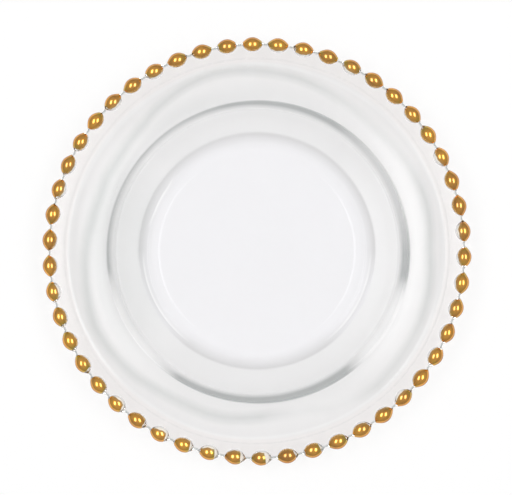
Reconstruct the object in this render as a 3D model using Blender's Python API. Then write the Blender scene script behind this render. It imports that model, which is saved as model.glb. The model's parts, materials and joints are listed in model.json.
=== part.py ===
"""Bread plate of clear pressed glass with a beaded rim, each bead gilded on its top and outer side.

The glass is one body: a turned profile whose edge swells into a ring of lemon-shaped beads.
The gilding is a thin gold coat on every bead.
Metres, +Z up. The origin is the middle of the plane that the foot ring rests on.
"""
import math

import bmesh
import bpy
from mathutils import Matrix, Vector

MM = 0.001

# Well floor and its wall, which is as thick as the flange's inner end
WELL_RADIUS = 54.8 * MM
FLOOR_THICKNESS = 4.8 * MM
WELL_WALL_RUN = 2.6 * MM
WELL_WALL_HEIGHT = 2.12 * MM
WALL_THICKNESS = 3.2 * MM
WELL_FILLET = 2.0 * MM
SHOULDER_FILLET = 0.5 * MM
UNDER_FILLET = 1.0 * MM

# Foot ring under the floor
FOOT_HEIGHT = 1.2 * MM
FOOT_WIDTH = 0.8 * MM
FOOT_INSET = 11.6 * MM
FOOT_INNER_RUN = 3.0 * MM
FOOT_OUTER_RUN = 3.4 * MM

# Flange between the well and the rim, steeper towards the rim
FLANGE_RUN = 15.9 * MM
FLANGE_INNER_SLOPE = math.radians(10)
FLANGE_OUTER_SLOPE = math.radians(30)

# Flat rim band and the rounding that leads up to it
RIM_FILLET = 6.0 * MM
RIM_BAND_WIDTH = 3.3 * MM
RIM_THICKNESS = 2.0 * MM
RIM_OVERHANG = 0.25 * MM

# Beads along the rim's edge
BEAD_COUNT = 50
BEAD_DIAMETER = 5.8 * MM
BEAD_LINK = 0.3 * MM
FIRST_BEAD_ANGLE = math.radians(4.9)

# Gold coat on a bead
COAT_THICKNESS = 0.2 * MM
COAT_CLEARANCE = 0.05 * MM

# Facets
PLATE_SEGMENTS_PER_BEAD = 2
ARC_STEP = math.radians(32)
FLANGE_STEPS = 4
BEAD_STATIONS = (-0.8, -0.42, 0.0, 0.42, 0.8)
BEAD_ARC = (-1.0, -0.62, -0.25, 0.0, 0.29, 0.58, 0.86, 1.0)
COAT_ARC = BEAD_ARC[2:-1]

# Heights and radii that follow from the sizes above
FLOOR_Z = FOOT_HEIGHT + FLOOR_THICKNESS
SHOULDER_RADIUS = WELL_RADIUS + WELL_WALL_RUN
SHOULDER_Z = FLOOR_Z + WELL_WALL_HEIGHT
RIM_RADIUS = SHOULDER_RADIUS + FLANGE_RUN
RIM_Z = SHOULDER_Z + FLANGE_RUN * (math.tan(FLANGE_INNER_SLOPE) + math.tan(FLANGE_OUTER_SLOPE)) / 2
BEAD_RADIUS = BEAD_DIAMETER / 2
BEAD_RING_RADIUS = RIM_RADIUS + RIM_BAND_WIDTH + BEAD_RADIUS
BEAD_Z = RIM_Z - RIM_THICKNESS / 2
BEAD_PITCH = math.tau * BEAD_RING_RADIUS / BEAD_COUNT
BEAD_HALF_LENGTH = (BEAD_PITCH - BEAD_LINK) / 2

GLASS_COLOUR = (0.93, 0.95, 0.96, 1.0)
GOLD_COLOUR = (0.78, 0.50, 0.14, 1.0)


def clear_scene():
    for item in list(bpy.data.objects):
        bpy.data.objects.remove(item, do_unlink=True)


def make_material(name, colour, roughness, metallic=0.0, transmission=0.0):
    material = bpy.data.materials.new(name)
    material.use_nodes = True
    shader = material.node_tree.nodes["Principled BSDF"]
    shader.inputs["Base Color"].default_value = colour
    shader.inputs["Roughness"].default_value = roughness
    shader.inputs["Metallic"].default_value = metallic
    shader.inputs["Transmission Weight"].default_value = transmission
    return material


def offset_corner(before, corner, after, thickness):
    """Move a corner of the upper outline square to both its sides, down to the underside."""
    to_corner = (corner - before).normalized()
    from_corner = (after - corner).normalized()
    down = Vector((to_corner.y + from_corner.y, -to_corner.x - from_corner.x)).normalized()
    half_turn = to_corner.angle(from_corner) / 2
    return corner + down * thickness / math.cos(half_turn)


def fillet(before, corner, after, radius):
    """Points of an arc that rounds one corner, no longer than its shorter side allows."""
    back = before - corner
    ahead = after - corner
    turn = math.pi - back.angle(ahead)
    room = 0.45 * min(back.length, ahead.length)
    tangent = min(radius * math.tan(turn / 2), room)
    start = corner + back.normalized() * tangent
    end = corner + ahead.normalized() * tangent
    steps = max(1, math.ceil(turn / ARC_STEP))
    centre = corner + (start + end - 2 * corner).normalized() * tangent / math.sin(turn / 2)
    sweep = (start - centre).angle_signed(end - centre)
    return [centre + Matrix.Rotation(-sweep * i / steps, 2) @ (start - centre) for i in range(steps + 1)]


def flange_points():
    """Upper side of the flange from the shoulder to the rim, as a parabola between two slopes."""
    inner = math.tan(FLANGE_INNER_SLOPE)
    gain = math.tan(FLANGE_OUTER_SLOPE) - inner
    shoulder = Vector((SHOULDER_RADIUS, SHOULDER_Z))
    shares = [i / FLANGE_STEPS for i in range(FLANGE_STEPS + 1)]
    steps = [Vector((share, inner * share + gain * share**2 / 2)) for share in shares]
    return [shoulder + FLANGE_RUN * step for step in steps]


def upper_corners():
    """Corners of the upper side, from the well's floor out to the rim band."""
    floor = Vector((0.0, FLOOR_Z))
    well_edge = Vector((WELL_RADIUS, FLOOR_Z))
    band = Vector((BEAD_RING_RADIUS, RIM_Z))
    return [floor, well_edge] + flange_points() + [band]


def upper_outline():
    """Upper side from the rim's edge inwards."""
    floor, well_edge, shoulder, *flange, rim, band = upper_corners()
    well_fillet = fillet(floor, well_edge, shoulder, WELL_FILLET)
    shoulder_fillet = fillet(well_edge, shoulder, flange[0], SHOULDER_FILLET)
    rim_fillet = fillet(flange[-1], rim, band, RIM_FILLET)
    outline = well_fillet + shoulder_fillet + flange + rim_fillet
    return outline[::-1]


def lower_outline():
    """Underside from the foot's recess out to the rim: a wall of one thickness, then a thinning flange."""
    top = upper_corners()
    taper = (RIM_THICKNESS - WALL_THICKNESS) / FLANGE_STEPS
    walls = [WALL_THICKNESS] + [WALL_THICKNESS + taper * i for i in range(FLANGE_STEPS + 1)]
    corners = [offset_corner(*top[i:i + 3], wall) for i, wall in enumerate(walls)]
    foot_outer = WELL_RADIUS - FOOT_INSET
    foot_inner = foot_outer - FOOT_WIDTH
    foot = [
        Vector((foot_inner - FOOT_INNER_RUN, FOOT_HEIGHT)),
        Vector((foot_inner, 0.0)),
        Vector((foot_outer, 0.0)),
        Vector((foot_outer + FOOT_OUTER_RUN, FOOT_HEIGHT)),
    ]
    well_fillet = fillet(foot[-1], *corners[:2], UNDER_FILLET)
    shoulder_fillet = fillet(*corners[:3], SHOULDER_FILLET)
    return foot + well_fillet + shoulder_fillet + corners[2:]


def bead_swell(along):
    """Radius of a bead at a share of its half length, pointed at both tips."""
    return BEAD_RADIUS * math.cos(along * math.pi / 2)


def edge_point(along, angle, arc, proud=0.0):
    """Point on the rim's edge: a circle that swells with the bead and meets the band's two faces."""
    swell = bead_swell(along)
    half_band = RIM_THICKNESS / 2
    radius = max(swell, half_band)
    reach = BEAD_RING_RADIUS + max(swell, RIM_OVERHANG)
    turn = arc * (math.pi - math.asin(half_band / radius))
    out = reach - radius + (radius + proud) * math.cos(turn)
    up = BEAD_Z + (radius + proud) * math.sin(turn)
    return Vector((out * math.cos(angle), out * math.sin(angle), up))


def bead_angles(bead):
    """Stations of one bead and of the link after it, as pairs of share and angle."""
    middle = FIRST_BEAD_ANGLE + math.tau * bead / BEAD_COUNT
    stations = [(share, middle + share * BEAD_HALF_LENGTH / BEAD_RING_RADIUS) for share in BEAD_STATIONS]
    return stations + [(1.0, middle + math.pi / BEAD_COUNT)]


def add_loop(bm, points):
    corners = [bm.verts.new(point) for point in points]
    for pair in zip(corners, corners[1:] + corners[:1]):
        bm.edges.new(pair)
    return corners


def loop_edges(bm, corners):
    return [bm.edges.get(pair) for pair in zip(corners, corners[1:] + corners[:1])]


def skin(bm, loops):
    """Quads from loop to loop, or a level ring of triangles where the number of corners changes."""
    for first, second in zip(loops, loops[1:]):
        if len(first) == len(second):
            for i in range(len(first)):
                bm.faces.new((first[i - 1], first[i], second[i], second[i - 1]))
        else:
            edges = loop_edges(bm, first) + loop_edges(bm, second)
            bmesh.ops.triangle_fill(bm, edges=edges, use_beauty=True, normal=(0.0, 0.0, 1.0))


def turned_loop(bm, point):
    """Ring of the turned profile, with corners in line with the beads and the links."""
    count = PLATE_SEGMENTS_PER_BEAD * BEAD_COUNT
    angles = [FIRST_BEAD_ANGLE + math.tau * i / count for i in range(count)]
    return add_loop(bm, [(point.x * math.cos(a), point.x * math.sin(a), point.y) for a in angles])


def beaded_loop(bm, arc):
    stations = [station for bead in range(BEAD_COUNT) for station in bead_angles(bead)]
    return add_loop(bm, [edge_point(along, angle, arc) for along, angle in stations])


def finish_mesh(bm, name, sharp_angle):
    """Split every quad along its shorter diagonal, so that a coat's facets lie along its bead's."""
    bmesh.ops.triangulate(bm, faces=bm.faces, quad_method="SHORT_EDGE", ngon_method="BEAUTY")
    bmesh.ops.recalc_face_normals(bm, faces=bm.faces)
    mesh = bpy.data.meshes.new(name)
    bm.to_mesh(mesh)
    bm.free()
    mesh.shade_smooth()
    mesh.set_sharp_from_angle(angle=sharp_angle)
    return mesh


def add_object(name, mesh, parent, turn=0.0):
    item = bpy.data.objects.new(name, mesh)
    bpy.context.scene.collection.objects.link(item)
    item.parent = parent
    item.rotation_euler.z = turn
    return item


def glass_mesh():
    """Plate from the foot's recess, round the beaded edge and back to the well's floor."""
    bm = bmesh.new()
    under = [turned_loop(bm, point) for point in lower_outline()]
    edge = [beaded_loop(bm, arc) for arc in BEAD_ARC]
    upper = [turned_loop(bm, point) for point in upper_outline()]
    skin(bm, under + edge + upper)
    bm.faces.new(under[0])
    bm.faces.new(upper[-1])
    return finish_mesh(bm, "glass_plate", math.radians(38))


def coat_mesh():
    """Gold coat of the first bead: a thin shell that follows the bead's facets."""
    bm = bmesh.new()
    inner = COAT_CLEARANCE
    outer = COAT_CLEARANCE + COAT_THICKNESS
    loops = []
    for along, angle in bead_angles(0)[:-1]:
        under = [edge_point(along, angle, arc, inner) for arc in COAT_ARC]
        over = [edge_point(along, angle, arc, outer) for arc in reversed(COAT_ARC)]
        loops.append(add_loop(bm, under + over))
    skin(bm, loops)
    bm.faces.new(loops[0])
    bm.faces.new(loops[-1])
    return finish_mesh(bm, "gold_coat", math.radians(60))


def main():
    clear_scene()
    plate = add_object("bread_plate", None, None)
    glass = glass_mesh()
    glass.materials.append(make_material("clear_glass", GLASS_COLOUR, 0.04, transmission=1.0))
    add_object("glass_plate", glass, plate)
    coat = coat_mesh()
    coat.materials.append(make_material("bright_gold", GOLD_COLOUR, 0.2, metallic=1.0))
    for bead in range(BEAD_COUNT):
        add_object(f"bead_gilding_{bead + 1:02d}", coat, plate, math.tau * bead / BEAD_COUNT)


if __name__ == "__main__":
    main()
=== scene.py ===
"""Bread plate of clear pressed glass with a ring of gilded beads round its rim, on a pale studio floor.

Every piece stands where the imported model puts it: metres, +Z up, the foot ring on z = 0.
"""
import json
import math
import random

import bmesh
import bpy
from bpy.props import FloatProperty, FloatVectorProperty, IntProperty, PointerProperty
from mathutils import Euler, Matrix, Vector, noise


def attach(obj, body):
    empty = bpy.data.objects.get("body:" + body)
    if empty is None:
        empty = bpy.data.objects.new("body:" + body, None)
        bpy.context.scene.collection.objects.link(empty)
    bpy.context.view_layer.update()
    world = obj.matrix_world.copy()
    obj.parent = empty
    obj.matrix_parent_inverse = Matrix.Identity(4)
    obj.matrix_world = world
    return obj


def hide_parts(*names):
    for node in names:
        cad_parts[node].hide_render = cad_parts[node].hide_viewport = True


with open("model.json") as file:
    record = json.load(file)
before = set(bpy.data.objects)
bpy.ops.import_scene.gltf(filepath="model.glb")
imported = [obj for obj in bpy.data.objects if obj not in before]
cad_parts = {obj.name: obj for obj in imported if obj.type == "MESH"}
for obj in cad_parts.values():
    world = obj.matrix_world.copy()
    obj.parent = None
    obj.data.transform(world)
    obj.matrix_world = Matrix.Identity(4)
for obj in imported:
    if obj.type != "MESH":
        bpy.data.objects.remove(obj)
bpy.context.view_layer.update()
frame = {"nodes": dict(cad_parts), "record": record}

bl_info = {
    "name": "Gilded Bread Plate",
    "version": (1, 0, 0),
    "blender": (4, 5, 0),
    "location": "View3D > Sidebar > Bread Plate",
    "description": "Presses a clear glass bread plate with a beaded rim and gilds its beads",
    "category": "Add Mesh",
}

MM = 0.001
MOUNTS = {mount["name"]: mount["pos_m"] for mount in frame["record"]["mounts"]}
GILDED_NODES = sorted(name for name in frame["nodes"] if name.startswith("bead_gilding"))
PLATE_AXIS = {"center": (0.0, 0.0, 0.0), "axis": (0.0, 0.0, 1.0)}

# Fineness of the meshes.
FLANGE_STEPS = 12
STEPS_PER_BEAD = 6
DEGREES_PER_FILLET_STEP = 6
BEAD_SEGMENTS = 36
BEAD_RINGS = 24
COAT_STEPS = {"x_subdivisions": 26, "y_subdivisions": 18}
SAME_CORNER = 0.01 * MM
WELD = 0.001 * MM
GLASS_SMOOTHING = math.radians(32)
GOLD_SMOOTHING = math.radians(50)

# Roundings of the section, and how far from a corner its straight runs are held.
EDGE_ROUNDING = 0.49
UNDER_RIM_ROUNDING = 0.3 * MM
FOOT_END_ROUNDING = 0.5 * MM
FOOT_OUTER_ROUNDING = 2.0 * MM
FOOT_INNER_ROUNDING = 1.0 * MM
RECESS_ROUNDING = 7.0 * MM
WELL_HOLD = 2.2 * MM
RIM_HOLD = 2.0 * MM
UNDER_RIM_HOLD = 1.2 * MM
RECESS_HOLD = 2.5 * MM

# The mould's slow waves, and how far below the flange's upper side a corner still takes them.
WAVE_LENGTH = 38.0 * MM
WAVE_REACH = 0.3 * MM

# Sides of the plate where the painted glints and painted shade of the glass differ from the rest: direction and
# reach in degrees, then strength, which for a line that strays is in millimetres.
FOOT_GLINTS = ((207, 27, 1.0), (333, 27, 1.0))
FAR_FOOT_GLINT = ((153, 16, 1.0),)
FAR_FOOT_STRAY = ((153, 20, 1.8),)
# Sides where the wall's painted shade gives way to painted light.
LIT_WALL_SIDES = ((213, 26, 1.0), (328, 22, 1.0), (28, 30, 0.45), (142, 40, 0.25))
WALL_GLINTS = ((213, 24, 1.0), (328, 20, 1.0))
BAND_GLINTS = ((326, 18, 1.0), (210, 16, 1.0))
SHADE_BAND_STRAY = ((90, 42, 3.1), (180, 26, -1.8), (262, 34, -2.4), (324, 36, 3.0))
SHADE_BAND_STRENGTH = ((180, 40, 0.5), (0, 30, 0.4), (45, 25, -0.5), (325, 30, -0.3), (291, 20, -0.8))
SHADED_SIDE = ((182, 42, 1.0),)
SHADED_FLANGE = ((140, 80, 1.0),)
FULL_SHARE_OF_REACH = 0.35

# Lines round the plate that the painted glints and shade follow, in millimetres, and how far they wander.
FOOT_END_OVERLAP = 0.4
FOOT_GLINT_PLACE, FOOT_GLINT_WANDER = 1.7, 0.6
RIM_LINE_PLACE, RIM_LINE_WANDER = 0.9, 1.2
BAND_GLINT_PLACE, BAND_GLINT_WANDER = -0.9, 3.0
SHADE_BAND_WANDER = 12.0

# Shares: the painted shade band's place on the flange's way out, the wall's glass that lies beyond the shoulder,
# and the square of a link's half length in the pitch of the beads, where it ends and where it is full.
SHADE_BAND_WAY = 0.63
WALL_SPREAD = 0.516
LINK_LENGTH = (0.012, 0.006)

# How far the painted dark ring of shade on the wall lies off the plate's middle, for each metre across or along
# it.
RING_INSIDE_ACROSS = 0.006
RING_OUTSIDE_ACROSS = -0.009
RING_OUTSIDE_ALONG = 0.008

# Edges of the marks: where each starts and is full, in millimetres past the line that it follows.
UPPER_SIDE = (-0.6, -0.2)
LOWER_SIDE = (0.8, 0.4)
FLOOR_START = (0.0, 0.9)
FLANGE_START = (0.0, 1.5)
RIM_START = (-1.0, 0.0)
BEAD_START = (0.1, 0.3)
FOOT_SHADE_RISE = (-6.2, 0.0)
FOOT_SHADE_FALL = (0.9, 0.0)
RING_INSIDE = (-1.5, 0.0)
RING_OUTSIDE = (0.25, -0.25)
FROST_INSIDE = (-1.0, -0.4)
FROST_OUTSIDE = (0.4, 0.0)
SHADED_SIDE_INSIDE = (-5.0, -1.0)
SHADED_SIDE_OUTSIDE = (6.5, 4.0)
LINK_INSIDE = (-0.5, 0.0)

# Painted glints and painted shade in the glass: where each starts, is full, fades and ends across its run, in
# millimetres.
FOOT_GLINT_STREAK = (-0.55, -0.2, 0.15, 0.4)
FOOT_LINE_STREAK = (0.25, 0.6, 0.7, 1.3)
BAND_GLINT_STREAK = (-0.8, 0.0, 0.0, 0.5)
SHADE_BAND_STREAK = (-2.8, 0.0, 0.0, 2.8)
RIM_LINE_STREAK = (-0.25, 0.0, 0.0, 0.25)
SEAM_SHADE_STREAK = (0.02, 0.08, 0.45, 0.85)
SHADED_FLANGE_STREAK = (0.0, 1.0, 3.0, 7.0)

# How strongly each painted shade and painted glint in the glass takes its tint.
FOOT_SHADE = 0.42
FOOT_SHADE_CURVE = 1.6
FOOT_SHADE_LOST_IN_GLINT = 0.7
FOOT_LINE_SHADE = 0.16
WALL_SHADE = 0.9
WAVE_SHADE = 0.34
RIM_LINE_SHADE = 0.2
SEAM_SHADE = 0.85
SHADED_SIDE_SHADE = 0.17
SHADED_FLANGE_SHADE = 0.1
BAND_GLINT_ALL_ROUND = 0.35

# How light goes through the glass and glances off glass and gold.
SPECK_ROUGHNESS = 0.012
FROST_ROUGHNESS = 0.35
GLASS_IOR = 1.51
GLASS_GLANCE = (0.45, 0.45, 0.45, 1.0)
LACQUER_IOR = 1.75
LACQUER_ROUGHNESS = 0.04
GOLD_GLANCE = (0.6, 0.36, 0.1, 1.0)

# Grains: how many fit into a metre, or for the brush strokes along and across one coat.
SPECK_GRAIN = 900.0
LOBE_GRAIN = 15.0
PATCH_GRAIN = 260.0
BEAD_GRAIN = 45.0
SHEEN_GRAIN = 170.0
TABLE_GRAIN = 6.0
STROKE_GRAIN = (1.5, 14.0, 1.0)
STROKE_DEPTH = 0.06 * MM
STROKE_RELIEF = 0.3

# Ranges in the gold: sums of grain, then shares of a coat's width from its outer to its inner edge,
# then squares of the share of its length from its middle.
THIN_SPOTS = (0.52, 1.04)
GREEN_SPOTS = (0.46, 0.58)
# The coat's outer edge, browned as painted shade.
SHADED_OUTER_EDGE = (0.4, 0.22)
# The coat's inner edge, paled as a painted reflection.
LIT_INNER_EDGE = (0.86, 1.0)
LACQUERED = (0.2, 0.42)
PALE_ENDS = (0.02, 0.08)
GREEN_ENDS = (0.01, 0.09)

# Stage: lengths in metres and the film in millimetres. Each lamp has its direction round the plate
# and its zenith in degrees, and the light overhead sets in between two zeniths.
TABLE_SIZE = 8.0
TABLE_DROP = 0.1 * MM
TABLE_MOTTLE = 0.985
LAMP_DISTANCE = 1.0
LAMP_LENGTH = 0.92
LAMP_WIDTH = 0.46
LAMP_PLACES = {"left_softbox": (175, 25), "right_softbox": (5, 26)}
OVERHEAD_EDGE = 18
OVERHEAD_CORE = 6
LIGHT_BOUNCES = 64
FILM_WIDTH = 36.0


def direction_of(node):
    """Angle at which a node stands round the plate's axis."""
    corners = [vertex.co for vertex in frame["nodes"][node].data.vertices]
    middle = sum(corners, Vector())
    return math.atan2(middle.y, middle.x)


def length(name, millimetres, description):
    """A length that a user can change, given here in millimetres."""
    return FloatProperty(
        name=name, description=description, default=millimetres * MM, min=0.0, unit="LENGTH", precision=5
    )


def angle(name, degrees, description):
    """An angle that a user can change, given here in degrees."""
    return FloatProperty(
        name=name, description=description, default=math.radians(degrees), subtype="ANGLE", unit="ROTATION"
    )


def share(name, default, description):
    """A plain number that a user can change."""
    return FloatProperty(name=name, description=description, default=default, subtype="FACTOR", soft_max=1.0)


def colour(name, default, description):
    """A linear colour that a user can change."""
    return FloatVectorProperty(
        name=name, description=description, default=default, size=4, min=0.0, max=1.0, subtype="COLOR"
    )


class PLATE_PG_glass(bpy.types.PropertyGroup):
    """Sizes and look of the pressed glass."""

    well_radius: length("Well Radius", 54.8, "Where the well's floor turns up into its wall")
    floor_height: length("Floor Height", MOUNTS["well_floor"][2] / MM, "Well's floor above the table")
    wall_run: length("Wall Run", 2.6, "How far the well's wall leans outwards")
    wall_height: length("Wall Height", 2.12, "Height of the well's wall")
    wall_thickness: length("Wall Thickness", 3.2, "Glass of the wall and of the flange's inner end")
    well_fillet: length("Well Fillet", 2.0, "Rounding between floor and wall")
    shoulder_fillet: length("Shoulder Fillet", 0.5, "Rounding between wall and flange")
    under_fillet: length("Under Fillet", 1.0, "Rounding under the well's wall")
    foot_radius: length("Foot Radius", MOUNTS["foot"][0] / MM, "Middle of the foot ring")
    foot_width: length("Foot Width", 0.8, "Flat that the foot ring stands on")
    foot_height: length("Foot Height", 1.2, "Foot ring below the plate's underside")
    foot_inner_run: length("Foot Inner Run", 3.0, "From the recess down to the foot")
    foot_outer_run: length("Foot Outer Run", 3.4, "From the foot up to the underside of the well")
    flange_run: length("Flange Run", 15.9, "From the shoulder out to the rim band")
    flange_inner_slope: angle("Flange Inner Slope", 10.0, "Slope of the flange at the shoulder")
    flange_outer_slope: angle("Flange Outer Slope", 30.0, "Slope of the flange at the rim band")
    rim_fillet: length("Rim Fillet", 6.0, "Rounding between the flange and the rim band")
    rim_band_width: length("Rim Band Width", 3.3, "Flat band inside the beads")
    rim_thickness: length("Rim Thickness", 2.0, "Glass at the rim band")
    rim_overhang: length("Rim Overhang", 0.45, "Rim's edge beyond the middle of the beads")
    bead_diameter: length("Bead Diameter", 5.8, "Thickest place of a bead")
    bead_link: length("Bead Link", 0.3, "Gap between the tips of two beads")
    bead_fullness: share("Bead Fullness", 0.78, "Slim beads at 1, blunter ones below it")
    bead_taper: share("Bead Taper", 0.45, "How much the beads are drawn in at their tips")
    ripple: length("Ripple", 0.05, "Height of the mould's slow waves on the flange")
    tint: colour("Tint", (0.915, 0.911, 0.927, 1.0), "Colour of the glass")
    # Painted shade: the well's floor round the foot ring is darkened for the table's shadow beneath it.
    floor_shade_tint: colour("Floor Tint", (0.858, 0.855, 0.858, 1.0), "Colour of the thick floor round the foot ring")
    flange_tint: colour("Flange Tint", (0.873, 0.869, 0.87, 1.0), "Colour of the flange")
    rim_tint: colour("Rim Tint", (0.905, 0.888, 0.883, 1.0), "Colour of the rim band")
    # Painted reflection: warm colour of the bare glass of the beads, standing in for their gold seen in it.
    bead_reflection_tint: colour("Bead Tint", (0.95, 0.85, 0.68, 1.0), "Colour of the beads under their gold")
    # Painted shade over the foot ring, and a painted dark line beside its glints.
    foot_shade_tint: colour("Foot Tint", (0.48, 0.475, 0.465, 1.0), "Colour over the foot ring")
    # Painted shade: colour of the dark ring that the well's wall shows.
    wall_shade_tint: colour("Wall Tint", (0.23, 0.25, 0.25, 1.0), "Colour of the well's wall")
    # Painted glints: clear glass where the wall, the foot ring and the rim band catch the lamps.
    glint_tint: colour("Clear Tint", (1.0, 1.0, 1.0, 1.0), "Colour where the mould left the glass thin")
    # Painted shade: colour of the dark band round the flange, the line on the rim band, the links, the seams and
    # one side.
    painted_shade_tint: colour("Deep Tint", (0.46, 0.49, 0.48, 1.0), "Colour where much glass lies behind it")

    @property
    def shoulder(self):
        return Vector((self.well_radius + self.wall_run, self.floor_height + self.wall_height))

    @property
    def rim_radius(self):
        return self.shoulder.x + self.flange_run

    @property
    def rim_height(self):
        return self.flange_point(1.0).y

    @property
    def bead_radius(self):
        return self.bead_diameter / 2

    @property
    def bead_ring(self):
        return self.rim_radius + self.rim_band_width + self.bead_radius

    @property
    def bead_height(self):
        return self.rim_height - self.rim_thickness / 2

    @property
    def bead_half_length(self):
        return (math.tau * self.bead_ring / len(GILDED_NODES) - self.bead_link) / 2

    def bead_swell(self, along):
        """Radius of a bead from its middle at 0 to its tips at -1 and 1."""
        barrel = max(0.0, math.cos(along * math.pi / 2)) ** self.bead_fullness
        return self.bead_radius * barrel * (1 - self.bead_taper * along**4)

    def flange_slope(self, way):
        """Rise of the flange's upper side, from its inner end at 0 to its outer end at 1."""
        inner = math.tan(self.flange_inner_slope)
        return inner + (math.tan(self.flange_outer_slope) - inner) * way

    def flange_point(self, way):
        """Point on the flange's upper side: a parabola between the two slopes."""
        rise = (self.flange_slope(0.0) + self.flange_slope(way)) / 2
        return self.shoulder + self.flange_run * Vector((way, rise * way))

    def flange_under(self, way):
        """Point on the flange's underside, square below the upper one."""
        glass = self.wall_thickness + (self.rim_thickness - self.wall_thickness) * way
        down = Vector((self.flange_slope(way), -1.0)).normalized()
        return self.flange_point(way) + glass * down


class PLATE_PG_gilding(bpy.types.PropertyGroup):
    """Reach and look of the brushed gold."""

    clearance: length("Clearance", 0.015, "Gap that keeps the gold off the glass")
    thickness: length("Thickness", 0.05, "Thickness of the gold")
    inner_reach: angle("Inner Reach", 153.0, "How far the gold comes over the bead from its outer side")
    lower_reach: angle("Lower Reach", 40.0, "How far the gold goes down below the bead's outer side")
    blunt_end: share("Blunt End", 0.88, "Share of the half bead that the brush covers at the end of its stroke")
    tip_end: share("Tip End", 0.85, "Share of the half bead that the brush covers at the start of its stroke")
    unsteadiness: share("Unsteadiness", 0.5, "How much the brushed edge wanders")
    gold: colour("Gold", (0.83, 0.38, 0.018, 1.0), "Full gold")
    # Brown gold also carries the painted shade along each bead's outer edge.
    brown_gold: colour("Brown Gold", (0.3, 0.1, 0.006, 1.0), "Gold where the brush left less")
    green_gold: colour("Green Gold", (0.5, 0.36, 0.016, 1.0), "Sheen that the firing left on some flanks")
    # Painted pale reflection along the inner edge of the gold.
    pale_gold_reflection: colour("Pale Gold", (0.92, 0.66, 0.3, 1.0), "Gold along its thin inner edge")
    seed: IntProperty(name="Seed", description="Picks the hand that brushed the beads", default=7)


class PLATE_PG_stage(bpy.types.PropertyGroup):
    """Floor, light and camera."""

    floor: colour("Floor", (0.97, 0.97, 0.97, 1.0), "Colour of the table")
    backdrop: share("Backdrop", 0.75, "How much of the table's white is seen without its shading")
    room: share("Room", 0.43, "Light of the room from all round")
    ceiling: share("Ceiling", 0.22, "More light from above than from the sides of the room")
    overhead: share("Overhead", 0.62, "Light from straight above, where the camera hangs")
    left_lamp: share("Left Lamp", 0.265, "Light of the left softbox on the table")
    right_lamp: share("Right Lamp", 0.265, "Light of the right softbox on the table")
    camera_distance: length("Camera Distance", 398.5, "From the bead ring's middle to the camera")
    camera_tilt: angle("Camera Tilt", 3.74, "How far the camera stands to the front")
    camera_turn: angle("Camera Turn", 0.07, "How far the camera is turned round the plate's axis")
    camera_shift: FloatVectorProperty(
        name="Camera Shift", description="Shares of the frame that the view moves by",
        default=(-0.0017, 0.0021), size=2,
    )
    camera_lens: FloatProperty(
        name="Camera Lens", description="Focal length in millimetres", default=72.9, subtype="DISTANCE_CAMERA"
    )


class Signal:
    """One socket of a node tree; sums on it add Math nodes."""

    def __init__(self, finish, socket):
        self.finish = finish
        self.socket = socket

    def math(self, operation, *terms):
        return self.finish.add("ShaderNodeMath", {"operation": operation}, dict(enumerate(terms)))

    def __add__(self, other):
        return self.math("ADD", self, other)

    def __radd__(self, other):
        return self.math("ADD", other, self)

    def __sub__(self, other):
        return self.math("SUBTRACT", self, other)

    def __rsub__(self, other):
        return self.math("SUBTRACT", other, self)

    def __mul__(self, other):
        return self.math("MULTIPLY", self, other)

    def __rmul__(self, other):
        return self.math("MULTIPLY", other, self)

    def __pow__(self, other):
        return self.math("POWER", self, other)

    def at_least(self, floor):
        return self.math("MAXIMUM", self, floor)

    def between(self, low, high):
        """This value as a share of the way from low to high, kept within 0 and 1."""
        return self.finish.add(
            "ShaderNodeMapRange", {"clamp": True}, {"Value": self, "From Min": low, "From Max": high}
        )

    def rise(self, start, full):
        """0 at start and 1 at full, which are millimetres."""
        return self.between(start * MM, full * MM)

    def ridge(self, start, full, fade, end):
        """1 between full and fade, and 0 beyond start and end, which are millimetres."""
        return self.rise(start, full) * self.rise(end, fade)


class Finish:
    """Node tree of a material, of a lamp or of the world."""

    def __init__(self, owner):
        owner.use_nodes = True
        self.tree = owner.node_tree
        self.tree.nodes.clear()

    def add(self, kind, settings=None, sockets=None, output=0):
        """Add a node: its settings first, then the values or links of its sockets; give one output."""
        node = self.tree.nodes.new(kind)
        for name, value in (settings or {}).items():
            setattr(node, name, value)
        for name, value in (sockets or {}).items():
            if isinstance(value, Signal):
                self.tree.links.new(value.socket, node.inputs[name])
            else:
                node.inputs[name].default_value = value
        return Signal(self, node.outputs[output]) if len(node.outputs) else None

    def place(self, kind="Object"):
        return self.add("ShaderNodeTexCoord", output=kind)

    def split(self, vector, axes):
        return (self.add("ShaderNodeSeparateXYZ", {}, {"Vector": vector}, axis) for axis in axes)

    def stretch(self, vector, scale):
        return self.add("ShaderNodeMapping", {}, {"Vector": vector, "Scale": scale})

    def grain(self, vector, scale, detail=2.0, roughness=0.5):
        sockets = {"Vector": vector, "Scale": scale, "Detail": detail, "Roughness": roughness}
        return self.add("ShaderNodeTexNoise", {}, sockets, "Fac")

    def blend(self, factor, first, second):
        return self.add("ShaderNodeMix", {"data_type": "RGBA"}, {0: factor, 6: first, 7: second}, 2)

    def bump(self, height, strength, distance):
        return self.add("ShaderNodeBump", {}, {"Height": height, "Strength": strength, "Distance": distance})

    def show(self, shader, kind="Material"):
        self.add(f"ShaderNodeOutput{kind}", {}, {"Surface": shader})


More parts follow.
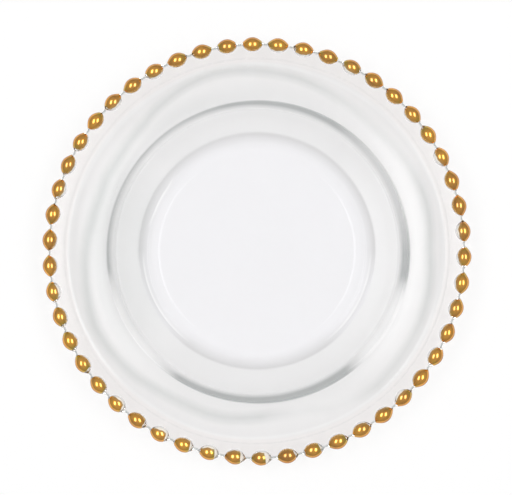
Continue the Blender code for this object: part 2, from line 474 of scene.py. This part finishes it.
class GlassMarks:
    """Painted glints and painted shade in the glass, each as the cover of a tint."""

    def __init__(self, finish, sizes):
        place = finish.place()
        self.sizes = sizes
        self.across, self.along, self.height = finish.split(place, "XYZ")
        self.out = (self.across**2 + self.along**2) ** 0.5
        self.east = self.across * self.out**-1.0
        self.north = self.along * self.out**-1.0
        self.specks = finish.grain(place, SPECK_GRAIN, 2.0)
        self.lobes = finish.grain(place, LOBE_GRAIN, 0.5) - 0.5
        foot_end = sizes.foot_radius + sizes.foot_width / 2 + sizes.foot_outer_run
        self.past_foot = self.out - (foot_end - FOOT_END_OVERLAP * MM)
        self.past_shoulder = self.out - sizes.shoulder.x
        self.past_wall = self.past_shoulder - WALL_SPREAD * sizes.wall_thickness
        self.past_flange = self.out - sizes.rim_radius
        self.above_floor = self.height - sizes.floor_height
        self.above_rim = self.height - sizes.rim_height
        self.on_top = self.above_floor.rise(*UPPER_SIDE)

    def facing(self, sides):
        """Strengths of the sides that a point of the plate faces, added up."""
        total = 0.0
        for degrees, reach, strength in sides:
            turned = math.radians(degrees)
            ahead = self.east * math.cos(turned) + self.north * math.sin(turned)
            edge = math.cos(math.radians(reach))
            core = math.cos(math.radians(FULL_SHARE_OF_REACH * reach))
            total = total + strength * ahead.between(edge, core)
        return total

    def past_line(self, radius, wander):
        """How far out a point lies from a line round the plate that wanders by some millimetres."""
        return self.out + wander * MM * self.lobes - radius

    def foot(self):
        """Painted soft shade over the foot ring, the painted fine dark line along its glints, and the painted
        glints.
        """
        lit = self.facing(FOOT_GLINTS)
        rise = self.past_foot.rise(*FOOT_SHADE_RISE) ** FOOT_SHADE_CURVE
        shade = rise * self.past_foot.rise(*FOOT_SHADE_FALL) * (1.0 - FOOT_SHADE_LOST_IN_GLINT * lit)
        run = self.past_line(self.sizes.foot_radius + FOOT_GLINT_PLACE * MM, FOOT_GLINT_WANDER)
        run = run + MM * self.facing(FAR_FOOT_STRAY)
        line = run.ridge(*FOOT_LINE_STREAK) * self.on_top * lit
        glint = run.ridge(*FOOT_GLINT_STREAK) * self.on_top * (lit + self.facing(FAR_FOOT_GLINT))
        return shade, line, glint

    def wall(self):
        """Painted dark ring of shade on the well's wall, a little off the plate's middle and paler where lit, and
        the painted glints on it.
        """
        inside = self.past_shoulder + RING_INSIDE_ACROSS * self.across
        outside = self.past_wall + RING_OUTSIDE_ACROSS * self.across + RING_OUTSIDE_ALONG * self.along
        ring = inside.rise(*RING_INSIDE) * outside.rise(*RING_OUTSIDE) * self.on_top
        return ring * (1.0 - self.facing(LIT_WALL_SIDES)), ring * self.facing(WALL_GLINTS)

    def under_wall(self):
        """Frosted ring on the underside of the well's wall."""
        ring = self.past_shoulder.rise(*FROST_INSIDE) * self.past_wall.rise(*FROST_OUTSIDE)
        return ring * self.above_floor.rise(*LOWER_SIDE)

    def waves(self):
        """Painted dark band of shade round the flange, which strays inwards and outwards and is darker on some
        sides.
        """
        run = self.past_line(self.sizes.flange_point(SHADE_BAND_WAY).x, SHADE_BAND_WANDER)
        run = run - MM * self.facing(SHADE_BAND_STRAY)
        return run.ridge(*SHADE_BAND_STREAK) * (1.0 + self.facing(SHADE_BAND_STRENGTH))

    def shaded_side(self):
        """Painted shade on one side of the plate, from the foot ring to the flange."""
        belt = self.past_foot.rise(*SHADED_SIDE_INSIDE) * self.past_wall.rise(*SHADED_SIDE_OUTSIDE)
        return self.facing(SHADED_SIDE) * belt

    def shaded_flange(self):
        """Painted shade on the inner end of the flange, on one side of the plate."""
        return self.facing(SHADED_FLANGE) * self.past_wall.ridge(*SHADED_FLANGE_STREAK)

    def rim(self):
        """Painted speckled dark line of shade on the rim band, and the painted glints along its inner edge."""
        radius = self.sizes.rim_radius
        # Painted dark line of shade along the rim band.
        mould = self.past_line(radius + RIM_LINE_PLACE * MM, RIM_LINE_WANDER).ridge(*RIM_LINE_STREAK)
        glint = self.past_line(radius + BAND_GLINT_PLACE * MM, BAND_GLINT_WANDER).ridge(*BAND_GLINT_STREAK)
        bright = self.facing(BAND_GLINTS) * self.specks.between(0.35, 0.5)
        bright = BAND_GLINT_ALL_ROUND + (1.0 - BAND_GLINT_ALL_ROUND) * bright
        return mould * self.specks.between(0.4, 0.5), glint * self.on_top * bright

    def links(self):
        """Painted shade on the thin links between the beads, halfway from one bead to the next."""
        turned = self.along.math("ARCTAN2", self.along, self.across)
        phase = (turned - direction_of(GILDED_NODES[0])) * (len(GILDED_NODES) / math.tau)
        off = phase.math("FRACT", phase) - 0.5
        past_middle = self.out - self.sizes.bead_ring
        return (off * off).between(*LINK_LENGTH) * past_middle.rise(*LINK_INSIDE)

    def seam_shade(self):
        """Painted fine dark line of shade where a bead rises out of the rim band."""
        return self.above_rim.ridge(*SEAM_SHADE_STREAK)


def pressed_glass(sizes):
    """Clear glass tinted by zone, with painted shade, painted glints and a painted warm reflection on the beads.
    """
    material = bpy.data.materials.new("pressed_glass")
    finish = Finish(material)
    marks = GlassMarks(finish, sizes)
    foot_shade, foot_line, foot_glint = marks.foot()
    wall_shade, wall_glint = marks.wall()
    rim_line_shade, band_glint = marks.rim()
    # Painted shade: the dark band round the flange, the line on the rim band, the links, the seams and one side
    # of the plate.
    painted_shade = (
        WAVE_SHADE * marks.waves()
        + RIM_LINE_SHADE * rim_line_shade
        + marks.links()
        + SEAM_SHADE * marks.seam_shade()
        + SHADED_SIDE_SHADE * marks.shaded_side()
        + SHADED_FLANGE_SHADE * marks.shaded_flange()
    )
    layers = (
        # Painted shade of the table's shadow under the well's floor round the foot ring.
        (marks.past_foot.rise(*FLOOR_START), sizes.floor_shade_tint),
        (marks.past_wall.rise(*FLANGE_START), sizes.flange_tint),
        (marks.past_flange.rise(*RIM_START), sizes.rim_tint),
        # Painted warm reflection of the gold in the beads' bare glass.
        (marks.above_rim.rise(*BEAD_START), sizes.bead_reflection_tint),
        # Painted shade over the foot ring and beside its glints.
        (FOOT_SHADE * foot_shade + FOOT_LINE_SHADE * foot_line, sizes.foot_shade_tint),
        # Painted dark ring of shade on the well's wall.
        (WALL_SHADE * wall_shade, sizes.wall_shade_tint),
        (painted_shade, sizes.painted_shade_tint),
        # Painted glints on the wall, the foot ring and the rim band.
        ((wall_glint + foot_glint + band_glint).between(0.0, 1.0), sizes.glint_tint),
    )
    glass = tuple(sizes.tint)
    for cover, tint in layers:
        glass = finish.blend(cover, glass, tuple(tint))
    speckle = SPECK_ROUGHNESS * marks.specks.between(0.45, 0.8)
    sockets = {
        "Base Color": glass,
        "Roughness": speckle + FROST_ROUGHNESS * marks.under_wall(),
        "Transmission Weight": 1.0,
        "IOR": GLASS_IOR,
        "Specular Tint": GLASS_GLANCE,
    }
    finish.show(finish.add("ShaderNodeBsdfPrincipled", {}, sockets))
    return material


def brushed_gold(look):
    """Bright gold with brush strokes along the bead, painted shade browning its outer edge, a painted pale
    reflection along its inner edge, and greener near its ends.
    """
    material = bpy.data.materials.new("brushed_gold")
    finish = Finish(material)
    place = finish.place()
    sheet = finish.place("UV")
    stroke, across = finish.split(sheet, "XY")
    strokes = finish.grain(finish.stretch(sheet, STROKE_GRAIN), 1.0, 3.0, 0.6)
    patches = finish.grain(place, PATCH_GRAIN, 2.0)
    beads = finish.grain(place, BEAD_GRAIN, 0.0)
    ends = (stroke - 0.5) ** 2
    thin_spots = (0.5 * strokes + 0.6 * patches + 0.25 * beads).between(*THIN_SPOTS)
    # Thin spots from the brush, plus painted shade along the coat's outer edge.
    thin = thin_spots + 0.9 * across.between(*SHADED_OUTER_EDGE)
    # Painted pale reflection along the coat's inner edge, stronger near its ends.
    lit_inner_edge = across.between(*LIT_INNER_EDGE) * (0.5 + 0.5 * ends.between(*PALE_ENDS))
    sheen = finish.grain(place, SHEEN_GRAIN, 1.0).between(*GREEN_SPOTS) * ends.between(*GREEN_ENDS)
    gold = finish.blend(thin.between(0.1, 1.0), tuple(look.gold), tuple(look.brown_gold))
    gold = finish.blend(0.8 * sheen, gold, tuple(look.green_gold))
    sockets = {
        "Base Color": finish.blend(lit_inner_edge, gold, tuple(look.pale_gold_reflection)),
        "Metallic": 1.0,
        "Roughness": 0.1 + 0.14 * patches,
        "Specular Tint": GOLD_GLANCE,
        "Coat Weight": across.between(*LACQUERED),
        "Coat IOR": LACQUER_IOR,
        "Coat Roughness": LACQUER_ROUGHNESS,
        "Normal": finish.bump(strokes, STROKE_RELIEF, STROKE_DEPTH),
    }
    finish.show(finish.add("ShaderNodeBsdfPrincipled", {}, sockets))
    return material


def pale_table(look):
    """Matt white table top with hardly any unevenness, seen nearly white by the camera and in gloss and glass."""
    material = bpy.data.materials.new("pale_table")
    finish = Finish(material)
    mottle = finish.grain(finish.place(), TABLE_GRAIN, 2.0)
    shade = tuple(TABLE_MOTTLE * part for part in look.floor[:3]) + (1.0,)
    sockets = {
        "Base Color": finish.blend(mottle, tuple(look.floor), shade),
        "Roughness": 0.9,
        "Specular IOR Level": 0.0,
    }
    matt = finish.add("ShaderNodeBsdfPrincipled", {}, sockets)
    white = finish.add("ShaderNodeEmission")
    camera, gloss, glass = (
        finish.add("ShaderNodeLightPath", output=f"Is {ray} Ray") for ray in ("Camera", "Glossy", "Transmission")
    )
    seen = camera.at_least(gloss).at_least(glass)
    finish.show(finish.add("ShaderNodeMixShader", {}, {0: look.backdrop * seen, 1: matt, 2: white}))
    return material


def start_afresh():
    """Leave edit mode and let go of everything that is selected."""
    if bpy.context.mode != "OBJECT":
        bpy.ops.object.mode_set(mode="OBJECT")
    bpy.ops.object.select_all(action="DESELECT")


def select_only(item):
    """Select one object and make it the active one."""
    start_afresh()
    item.select_set(True)
    bpy.context.view_layer.objects.active = item


def select_corners(item, wanted):
    """Select the corners of a mesh in edit mode that pass a test."""
    bpy.ops.mesh.select_all(action="DESELECT")
    mesh = bmesh.from_edit_mesh(item.data)
    for corner in mesh.verts:
        corner.select = wanted(corner)
    mesh.select_flush_mode()
    bmesh.update_edit_mesh(item.data)


def apply_modifier(item, name, kind, **settings):
    """Add a modifier, set it up and apply it."""
    select_only(item)
    modifier = item.modifiers.new(name, kind)
    for setting, value in settings.items():
        setattr(modifier, setting, value)
    bpy.ops.object.modifier_apply(modifier=modifier.name)


def hand_over(piece, material, node):
    """Give a finished piece its material, and let it ride in place of its node."""
    piece.data.materials.clear()
    piece.data.materials.append(material)
    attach(piece, "root")
    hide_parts(node)


def draw_outline(name, corners):
    """Chain of edges in the XZ plane, drawn corner after corner, then rounded where a radius is given."""
    start_afresh()
    bpy.ops.mesh.primitive_plane_add(size=MM)
    outline = bpy.context.object
    outline.name = name
    bpy.ops.object.mode_set(mode="EDIT")
    bpy.ops.mesh.merge(type="CENTER")
    here = Vector((0.0, 0.0))
    for number, (corner, _) in enumerate(corners):
        step = corner - here
        move = {"value": (step.x, 0.0, step.y)}
        if number == 0:
            bpy.ops.transform.translate(**move)
        else:
            bpy.ops.mesh.extrude_vertices_move(TRANSFORM_OT_translate=move)
        here = corner
    for (before, _), (corner, radius), (after, _) in zip(corners, corners[1:], corners[2:]):
        if radius:
            round_corner(outline, before, corner, after, radius)
    return outline


def round_corner(outline, before, corner, after, radius):
    """Round one corner of the chain to a radius."""
    turn = (corner - before).angle(after - corner)
    place = Vector((corner.x, 0.0, corner.y))
    select_corners(outline, lambda point: (point.co - place).length < SAME_CORNER)
    bpy.ops.mesh.bevel(
        offset_type="OFFSET",
        offset=radius * math.tan(turn / 2),
        segments=max(3, math.ceil(math.degrees(turn) / DEGREES_PER_FILLET_STEP)),
        profile=0.5,
        affect="VERTICES",
    )


def square_below(before, corner, after, thickness):
    """Corner of the underside that lies a thickness away from both sides of an upper corner."""
    to_corner = (corner - before).normalized()
    from_corner = (after - corner).normalized()
    down = Vector((to_corner.y + from_corner.y, -to_corner.x - from_corner.x)).normalized()
    return corner + down * thickness / math.cos(to_corner.angle(from_corner) / 2)


def upper_corners(sizes):
    """Upper side from the middle of the well to the rim's edge, each corner with its rounding."""
    floor = sizes.floor_height
    rim = sizes.rim_height
    edge = sizes.bead_ring + sizes.rim_overhang
    flange = [(sizes.flange_point(step / FLANGE_STEPS), 0.0) for step in range(1, FLANGE_STEPS - 1)]
    return [
        (Vector((0.0, floor)), 0.0),
        (Vector((sizes.well_radius - WELL_HOLD, floor)), 0.0),
        (Vector((sizes.well_radius, floor)), sizes.well_fillet),
        (sizes.shoulder, sizes.shoulder_fillet),
        *flange,
        (Vector((sizes.rim_radius, rim)), sizes.rim_fillet),
        (Vector((sizes.rim_radius + RIM_HOLD, rim)), 0.0),
        (Vector((edge, rim)), EDGE_ROUNDING * sizes.rim_thickness),
    ]


def lower_corners(sizes):
    """Underside from the rim's edge to the middle of the foot's recess, each corner with its rounding."""
    rim = sizes.rim_height - sizes.rim_thickness
    edge = sizes.bead_ring + sizes.rim_overhang
    floor = Vector((0.0, sizes.floor_height))
    well = Vector((sizes.well_radius, sizes.floor_height))
    under_shoulder = square_below(well, sizes.shoulder, sizes.flange_point(0.1), sizes.wall_thickness)
    under_well = square_below(floor, well, sizes.shoulder, sizes.wall_thickness)
    flange = [(sizes.flange_under(step / FLANGE_STEPS), 0.0) for step in range(FLANGE_STEPS - 1, 2, -1)]
    outside = sizes.foot_radius + sizes.foot_width / 2
    inside = sizes.foot_radius - sizes.foot_width / 2
    foot_end = Vector((outside + sizes.foot_outer_run, sizes.foot_height))
    recess = Vector((inside - sizes.foot_inner_run, sizes.foot_height))
    return [
        (Vector((edge, rim)), EDGE_ROUNDING * sizes.rim_thickness),
        (Vector((sizes.rim_radius + UNDER_RIM_HOLD, rim)), 0.0),
        (Vector((sizes.flange_under(1.0).x, rim)), UNDER_RIM_ROUNDING),
        *flange,
        (under_shoulder, sizes.shoulder_fillet),
        (under_well, sizes.under_fillet),
        (under_well.lerp(foot_end, 0.25), 0.0),
        (under_well.lerp(foot_end, 0.9), 0.0),
        (foot_end, FOOT_END_ROUNDING),
        (Vector((outside, 0.0)), FOOT_OUTER_ROUNDING),
        (Vector((inside, 0.0)), FOOT_INNER_ROUNDING),
        (recess, RECESS_ROUNDING),
        (recess - Vector((RECESS_HOLD, 0.0)), 0.0),
        (Vector((0.0, sizes.foot_height)), 0.0),
    ]


def turn_plate(sizes):
    """Turn the plate's section once round its axis."""
    plate = draw_outline("pressed_glass_plate", upper_corners(sizes) + lower_corners(sizes))
    bpy.ops.mesh.select_all(action="SELECT")
    bpy.ops.mesh.spin(steps=STEPS_PER_BEAD * len(GILDED_NODES), angle=math.tau, **PLATE_AXIS)
    bpy.ops.mesh.select_all(action="SELECT")
    bpy.ops.mesh.remove_doubles(threshold=WELD)
    bpy.ops.mesh.normals_make_consistent(inside=False)
    bpy.ops.object.mode_set(mode="OBJECT")
    return plate


def ripple_flange(plate, sizes):
    """Let the mould's slow waves show on the upper side of the flange."""
    group = plate.vertex_groups.new(name="flange")
    for vertex in plate.data.vertices:
        out = math.hypot(vertex.co.x, vertex.co.y)
        way = (out - sizes.shoulder.x) / sizes.flange_run
        on_top = 0.0 < way < 1.0 and vertex.co.z > sizes.flange_point(way).y - WAVE_REACH
        if on_top:
            group.add([vertex.index], math.sin(math.pi * way) ** 0.5, "REPLACE")
    waves = bpy.data.textures.new("mould_waves", "CLOUDS")
    waves.noise_scale = WAVE_LENGTH
    waves.noise_depth = 0
    apply_modifier(
        plate, "ripple", "DISPLACE",
        texture=waves, texture_coords="LOCAL", direction="Z", strength=2 * sizes.ripple, vertex_group="flange",
    )
    plate.vertex_groups.clear()


def make_beads(sizes):
    """Ring of glass beads: a sphere drawn out into a lemon, then repeated round the rim."""
    start_afresh()
    bpy.ops.mesh.primitive_uv_sphere_add(
        segments=BEAD_SEGMENTS, ring_count=BEAD_RINGS, radius=sizes.bead_radius
    )
    beads = bpy.context.object
    beads.name = "glass_beads"
    spread_rings(beads, sizes)
    first = direction_of(GILDED_NODES[0])
    beads.rotation_euler = (math.pi / 2, 0.0, first)
    beads.location = (sizes.bead_ring * math.cos(first), sizes.bead_ring * math.sin(first), sizes.bead_height)
    bpy.ops.object.transform_apply(location=True, rotation=True, scale=True)
    bpy.ops.object.mode_set(mode="EDIT")
    bpy.ops.mesh.select_all(action="SELECT")
    more = len(GILDED_NODES) - 1
    sweep = math.tau * more / (more + 1)
    bpy.ops.mesh.spin(steps=more, dupli=True, angle=sweep, **PLATE_AXIS)
    bpy.ops.mesh.select_all(action="SELECT")
    bpy.ops.mesh.normals_make_consistent(inside=False)
    bpy.ops.object.mode_set(mode="OBJECT")
    return beads


def spread_rings(bead, sizes):
    """Space a sphere's rings evenly along its axis and draw each in to the width of a lemon there."""
    members = {}
    for corner in bead.data.vertices:
        height = max(-1.0, min(1.0, corner.co.z / sizes.bead_radius))
        level = round(BEAD_RINGS * math.acos(height) / math.pi)
        members.setdefault(level, set()).add(corner.index)
    bpy.ops.object.mode_set(mode="EDIT")
    for level, ring in members.items():
        along = 1 - 2 * level / BEAD_RINGS
        turn = math.pi * level / BEAD_RINGS
        select_corners(bead, lambda point: point.index in ring)
        move = sizes.bead_half_length * along - sizes.bead_radius * math.cos(turn)
        bpy.ops.transform.translate(value=(0.0, 0.0, move))
        if 0 < level < BEAD_RINGS:
            width = sizes.bead_swell(along) / (sizes.bead_radius * math.sin(turn))
            bpy.ops.transform.resize(value=(width, width, 1.0))
    bpy.ops.object.mode_set(mode="OBJECT")


class PLATE_OT_press_glass(bpy.types.Operator):
    """Press the plate, its flange and its ring of beads as one piece of glass"""

    bl_idname = "plate.press_glass"
    bl_label = "Press Glass"

    def execute(self, context):
        sizes = context.scene.plate_glass
        plate = turn_plate(sizes)
        ripple_flange(plate, sizes)
        beads = make_beads(sizes)
        apply_modifier(plate, "beads", "BOOLEAN", operation="UNION", object=beads, solver="EXACT")
        bpy.data.objects.remove(beads)
        select_only(plate)
        bpy.ops.object.shade_smooth_by_angle(angle=GLASS_SMOOTHING)
        hand_over(plate, pressed_glass(sizes), "glass_plate")
        return {"FINISHED"}


def seam_turn(sizes, along):
    """Turn from a bead's outer side at which its skin sinks into the rim."""
    swell = sizes.bead_swell(along)
    half_band = sizes.rim_thickness / 2
    back = half_band - sizes.rim_overhang
    if swell**2 > half_band**2 + back**2:
        return math.pi - math.asin(half_band / swell)
    cosine = (half_band**2 - back**2 - swell**2) / (2 * back * swell)
    return math.acos(max(-1.0, min(1.0, cosine)))


def bead_skin(sizes, turned, along, turn, proud):
    """Point above a bead's skin: along runs from tip to tip, turn from the outer side over the top."""
    swell = sizes.bead_swell(along) + proud
    out = sizes.bead_ring + swell * math.cos(turn)
    side = along * sizes.bead_half_length
    return Vector((
        out * math.cos(turned) - side * math.sin(turned),
        out * math.sin(turned) + side * math.cos(turned),
        sizes.bead_height + swell * math.sin(turn),
    ))


class Brushwork:
    """How far one hand brushed the gold over one bead."""

    # Angles are degrees and lengths are shares of half a bead. Pairs are the ends of a range.
    # The brush left most glass bare on one side of the plate.
    BARE_SIDE = 258
    BARE_START = 0.06
    BARE_STOP = 0.42
    LATE_START = (0.0, 0.16)
    EARLY_STOP = (0.0, 0.22)
    UNEVENNESS = (0.8, 1.1)
    SKIMPED_BEADS = 0.3
    SKIMPED = (12, 28)
    FULL = (-4, 8)
    FAR_SIDE = 14
    LEAN = (-15, 15)
    SINK = (-5, 5)
    WOBBLE = 14
    OFF_SEAM = 1
    BOW = 0.12
    RAGGEDNESS = 0.12

    def __init__(self, look, sizes, bead, turned):
        hand = random.Random(look.seed + bead)
        bare = max(0.0, math.cos(turned - math.radians(self.BARE_SIDE))) ** 6
        late = hand.uniform(*self.LATE_START)
        missed = self.BARE_STOP * bare * hand.uniform(*self.UNEVENNESS)
        early = hand.uniform(*self.EARLY_STOP)
        skimped = hand.random() < self.SKIMPED_BEADS
        short = hand.uniform(*(self.SKIMPED if skimped else self.FULL))
        further = self.FAR_SIDE * max(0.0, math.sin(turned))
        self.sizes = sizes
        self.wander = look.unsteadiness
        self.start = -look.tip_end + late + self.BARE_START * bare
        self.stop = look.blunt_end - missed - early
        self.inner = look.inner_reach + math.radians(further - short)
        self.slant = math.radians(hand.uniform(*self.LEAN))
        self.lower = -look.lower_reach + math.radians(hand.uniform(*self.SINK))
        self.row = 10.0 * bead

    def along(self, way, across):
        """Place along the bead for a share of the stroke: its end is bowed and a little ragged."""
        ragged = self.wander * noise.noise(Vector((4.0 * across, self.row, 5.0)))
        stop = self.stop - self.BOW * (2 * across - 1) ** 2 + self.RAGGEDNESS * ragged
        return self.start + (stop - self.start) * (0.5 - 0.5 * math.cos(math.pi * way))

    def turn(self, along, across):
        """Place round the bead for a share of the stroke's width, never further than the bead's seam."""
        seam = seam_turn(self.sizes, along) - math.radians(self.OFF_SEAM)
        wobble = self.wander * noise.noise(Vector((3.0 * along, self.row, 0.0)))
        inner = min(self.inner + self.slant * along + math.radians(self.WOBBLE) * wobble, seam)
        lower = max(self.lower, -seam)
        return lower + (inner - lower) * across


def gild_bead(look, sizes, bead, node):
    """Thin coat of gold: a sheet laid over one bead as far as the brush went, then thickened outwards."""
    start_afresh()
    bpy.ops.mesh.primitive_grid_add(size=2.0, **COAT_STEPS)
    coat = bpy.context.object
    coat.name = f"gold_on_bead_{bead + 1:02d}"
    turned = direction_of(node)
    brush = Brushwork(look, sizes, bead, turned)
    for corner in coat.data.vertices:
        across = (corner.co.y + 1) / 2
        along = brush.along((corner.co.x + 1) / 2, across)
        turn = brush.turn(along, across)
        corner.co = bead_skin(sizes, turned, along, turn, look.clearance)
    apply_modifier(coat, "gold", "SOLIDIFY", thickness=look.thickness, offset=1.0)
    bpy.ops.object.shade_smooth_by_angle(angle=GOLD_SMOOTHING)
    return coat


class PLATE_OT_gild_beads(bpy.types.Operator):
    """Brush a coat of gold over the top and outer side of every bead"""

    bl_idname = "plate.gild_beads"
    bl_label = "Gild Beads"

    def execute(self, context):
        look = context.scene.plate_gilding
        gold = brushed_gold(look)
        for bead, node in enumerate(GILDED_NODES):
            coat = gild_bead(look, context.scene.plate_glass, bead, node)
            hand_over(coat, gold, node)
        return {"FINISHED"}


def lay_table(look):
    """Lay a wide table top just under the foot ring."""
    start_afresh()
    bpy.ops.mesh.primitive_plane_add(size=TABLE_SIZE, location=(0.0, 0.0, -TABLE_DROP))
    table = bpy.context.object
    table.name = "table"
    table.data.materials.append(pale_table(look))


def hang_softbox(name, light):
    """Long lamp, dimmer towards its edges, that adds its share of light to the table."""
    turned, zenith = map(math.radians, LAMP_PLACES[name])
    lean = math.sin(zenith)
    towards = Vector((lean * math.cos(turned), lean * math.sin(turned), math.cos(zenith)))
    aim = towards.to_track_quat("Z", "Y").to_euler()
    bpy.ops.object.light_add(type="AREA", location=towards * LAMP_DISTANCE, rotation=aim)
    lamp = bpy.context.object
    lamp.name = name
    lamp.data.shape = "RECTANGLE"
    lamp.data.size = LAMP_LENGTH
    lamp.data.size_y = LAMP_WIDTH
    lamp.data.energy = math.pi**2 * light * LAMP_DISTANCE**2 / math.cos(zenith)
    finish = Finish(lamp.data)
    across, along = finish.split(finish.add("ShaderNodeNewGeometry", output="Parametric"), "XY")
    # Each factor is 1 in the middle and 2/3 on average.
    fading = (4 * across * (1 - across)) * (4 * along * (1 - along))
    finish.show(finish.add("ShaderNodeEmission", {}, {"Strength": 1.5**2 * fading}), "Light")


def light_room(look):
    """Light from all round, a little more from above, with a level of its own where the camera hangs."""
    world = bpy.data.worlds.new("studio")
    finish = Finish(world)
    (up,) = finish.split(finish.place("Generated"), "Z")
    ceiling = look.ceiling * up.at_least(0.0)
    edge, core = (math.cos(math.radians(zenith)) for zenith in (OVERHEAD_EDGE, OVERHEAD_CORE))
    dimmed = (look.room + look.ceiling - look.overhead) * up.between(edge, core)
    sockets = {"Color": (1.0, 1.0, 1.0, 1.0), "Strength": look.room + ceiling - dimmed}
    finish.show(finish.add("ShaderNodeBackground", {}, sockets), "World")
    bpy.context.scene.world = world


def set_camera(look, sizes):
    """Hang the camera over the plate, a little to the front."""
    aim = Euler((look.camera_tilt, 0.0, look.camera_turn))
    place = Vector((0.0, 0.0, look.camera_distance))
    place.rotate(aim)
    place.z += sizes.bead_height
    bpy.ops.object.camera_add(location=place, rotation=aim)
    camera = bpy.context.object
    camera.data.lens = look.camera_lens
    camera.data.sensor_width = FILM_WIDTH
    camera.data.shift_x, camera.data.shift_y = look.camera_shift
    camera.data.clip_start = 0.01
    bpy.context.scene.camera = camera


class PLATE_OT_set_stage(bpy.types.Operator):
    """Lay the table, hang the lamps and put the camera over the plate"""

    bl_idname = "plate.set_stage"
    bl_label = "Set Stage"

    def execute(self, context):
        look = context.scene.plate_stage
        lay_table(look)
        hang_softbox("left_softbox", look.left_lamp)
        hang_softbox("right_softbox", look.right_lamp)
        light_room(look)
        set_camera(look, context.scene.plate_glass)
        context.scene.view_settings.view_transform = "Standard"
        cycles = context.scene.cycles
        cycles.blur_glossy = 0.0
        cycles.max_bounces = cycles.transmission_bounces = cycles.glossy_bounces = LIGHT_BOUNCES
        return {"FINISHED"}


class PLATE_PT_sidebar(bpy.types.Panel):
    """Lists the plate's sizes, finishes and steps"""

    bl_idname = "PLATE_PT_sidebar"
    bl_label = "Bread Plate"
    bl_space_type = "VIEW_3D"
    bl_region_type = "UI"
    bl_category = "Bread Plate"

    def draw(self, context):
        steps = (
            ("plate_glass", PLATE_OT_press_glass),
            ("plate_gilding", PLATE_OT_gild_beads),
            ("plate_stage", PLATE_OT_set_stage),
        )
        for group, step in steps:
            box = self.layout.box()
            settings = getattr(context.scene, group)
            for name in settings.__annotations__:
                box.prop(settings, name)
            box.operator(step.bl_idname)


CLASSES = (
    PLATE_PG_glass,
    PLATE_PG_gilding,
    PLATE_PG_stage,
    PLATE_OT_press_glass,
    PLATE_OT_gild_beads,
    PLATE_OT_set_stage,
    PLATE_PT_sidebar,
)


def register():
    for item in CLASSES:
        bpy.utils.register_class(item)
    bpy.types.Scene.plate_glass = PointerProperty(type=PLATE_PG_glass)
    bpy.types.Scene.plate_gilding = PointerProperty(type=PLATE_PG_gilding)
    bpy.types.Scene.plate_stage = PointerProperty(type=PLATE_PG_stage)


def unregister():
    del bpy.types.Scene.plate_glass
    del bpy.types.Scene.plate_gilding
    del bpy.types.Scene.plate_stage
    for item in reversed(CLASSES):
        bpy.utils.unregister_class(item)


def main():
    register()
    bpy.ops.plate.press_glass()
    bpy.ops.plate.gild_beads()
    bpy.ops.plate.set_stage()


if __name__ == "__main__":
    main()
